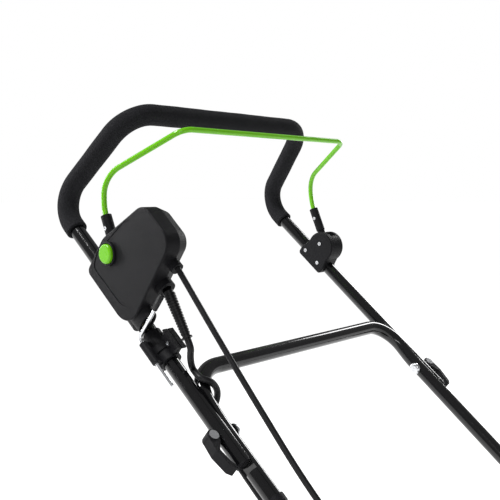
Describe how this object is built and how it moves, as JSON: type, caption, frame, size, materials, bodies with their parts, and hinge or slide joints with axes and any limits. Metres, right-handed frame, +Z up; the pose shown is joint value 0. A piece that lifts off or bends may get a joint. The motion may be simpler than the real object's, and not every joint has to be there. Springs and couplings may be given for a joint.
{
  "type": "reel mower",
  "caption": "Walk-behind powered reel lawn mower with a folding tubular handle, spring-loaded bail and side switch box.",
  "frame": {"origin": "on the ground, under the middle of the machine's bounding box", "axes": "+X is the mowing direction, +Y is the operator's left, +Z is up"},
  "size_m": [0.9892, 0.54, 0.977],
  "materials": {
    "black_tube": "gloss black powder coat",
    "foam": "closed cell foam, fine grain",
    "black_plastic": "moulded, fine spark texture",
    "green_rod": "lime green plastic coating",
    "green_plastic": "moulded lime green",
    "zinc": "bright zinc plate",
    "steel": "ground steel",
    "green_steel": "lime green enamel",
    "black_steel": "satin black enamel",
    "lead_rubber": "flexible black jacket",
    "belt_rubber": "ribbed belt",
    "motor_metal": "cast and turned",
    "switch_parts": "moulded phenolic",
    "inlet_parts": "nickel brass pins",
    "rim_plastic": "moulded grey black",
    "tyre_rubber": "ribbed tread",
    "roller_plastic": "smooth roller"
  },
  "bodies": {
    "chassis": {"lower_handle_tube": "black_tube", "fold_bolts": "zinc", "fold_spacers": "black_plastic", "barrel_nuts": "zinc", "side_plate_right": "black_steel", "side_plate_left": "black_steel", "tie_rods": "black_steel", "frame_bolts": "zinc", "bed_bar": "black_steel", "bed_knife": "steel", "knife_screws": "zinc", "reel_bearings": "steel", "drive_belt": "belt_rubber", "belt_cover": "black_plastic", "motor_can": "motor_metal", "motor_cradle": "black_steel", "top_cover": "black_plastic", "cover_screws": "zinc", "lead_glands": "black_plastic", "stub_axles": "steel", "roller_shaft": "steel", "roller_brackets": "black_steel", "height_knobs": "black_plastic", "cable_clips": "black_plastic", "power_lead": "lead_rubber", "control_cable": "lead_rubber"},
    "upper_handle": {"upper_handle_tube": "black_tube", "handle_end_caps": "black_plastic", "foam_grip": "foam", "switch_box_outer": "black_plastic", "switch_box_inner": "black_plastic", "case_screws": "zinc", "button_collar": "black_plastic", "button_spring": "zinc", "micro_switch": "switch_parts", "inlet_pins": "inlet_parts", "pivot_housing_plate": "black_plastic", "pivot_housing_drum": "black_plastic", "bail_return_spring": "zinc", "cord_guide_clamp": "black_plastic", "strain_relief": "lead_rubber"},
    "bail": {"bail_rod": "green_rod", "bail_end_near": "black_plastic", "bail_end_far": "black_plastic", "bail_screws": "zinc"},
    "start_button": {"start_button": "green_plastic"},
    "cord_guide": {"cord_guide_wire": "zinc"},
    "cam_lever_right": {"cam_lever_near": "black_plastic"},
    "cam_lever_left": {"cam_lever_far": "black_plastic"},
    "reel": {"reel_shaft": "steel", "reel_blades": "green_steel", "reel_spiders": "green_steel", "reel_pulley": "steel"},
    "motor_drive": {"motor_rotor": "steel", "motor_pulley": "steel"},
    "wheel_right": {"wheel_rim_right": "rim_plastic", "tyre_right": "tyre_rubber"},
    "wheel_left": {"wheel_rim_left": "rim_plastic", "tyre_left": "tyre_rubber"},
    "rear_roller": {"rear_roller": "roller_plastic"}
  },
  "joints": [
    {"name": "handle_fold", "type": "hinge", "parent": "chassis", "child": "upper_handle", "pos_m": [-0.14958, 0, 0.55506], "axis": [0, 1, 0], "range_deg": [0, 130], "deforming": ["power_lead", "control_cable"]},
    {"name": "bail_pull", "type": "hinge", "parent": "upper_handle", "child": "bail", "pos_m": [-0.35223, 0, 0.75298], "axis": [0, -1, 0], "range_deg": [0, 24], "stiffness_Nm_per_rad": 1.5, "springref_deg": -22.92, "deforming": ["bail_return_spring"]},
    {"name": "button_push", "type": "slide", "parent": "upper_handle", "child": "start_button", "axis": [0, 1, 0], "range_m": [0, 0.004], "stiffness_N_per_m": 400, "springref_m": -0.002, "deforming": ["button_spring"]},
    {"name": "cord_guide_swing", "type": "hinge", "parent": "upper_handle", "child": "cord_guide", "pos_m": [-0.25632, -0.26, 0.64258], "axis": [0.7869, 0, -0.617], "range_deg": [0, 100]},
    {"name": "right_cam", "type": "hinge", "parent": "chassis", "child": "cam_lever_right", "pos_m": [-0.14958, -0.255, 0.55506], "axis": [-0.617, 0, -0.7869], "range_deg": [0, 90]},
    {"name": "left_cam", "type": "hinge", "parent": "chassis", "child": "cam_lever_left", "pos_m": [-0.14958, 0.255, 0.55506], "axis": [0.617, 0, 0.7869], "range_deg": [0, 90]},
    {"name": "reel_spin", "type": "hinge", "parent": "chassis", "child": "reel", "pos_m": [0.41913, 0, 0.0925], "axis": [0, 1, 0], "continuous": true},
    {"name": "motor_spin", "type": "hinge", "parent": "chassis", "child": "motor_drive", "pos_m": [0.34413, 0, 0.19], "axis": [0, 1, 0], "continuous": true},
    {"name": "right_wheel_spin", "type": "hinge", "parent": "chassis", "child": "wheel_right", "pos_m": [0.35913, -0.247, 0.105], "axis": [0, 1, 0], "continuous": true},
    {"name": "left_wheel_spin", "type": "hinge", "parent": "chassis", "child": "wheel_left", "pos_m": [0.35913, 0.247, 0.105], "axis": [0, 1, 0], "continuous": true},
    {"name": "roller_spin", "type": "hinge", "parent": "chassis", "child": "rear_roller", "pos_m": [0.19413, 0, 0.024], "axis": [0, 1, 0], "continuous": true}
  ],
  "couplings": [
    {"joint": "motor_spin", "follows": "reel_spin", "ratio": 2}
  ]
}
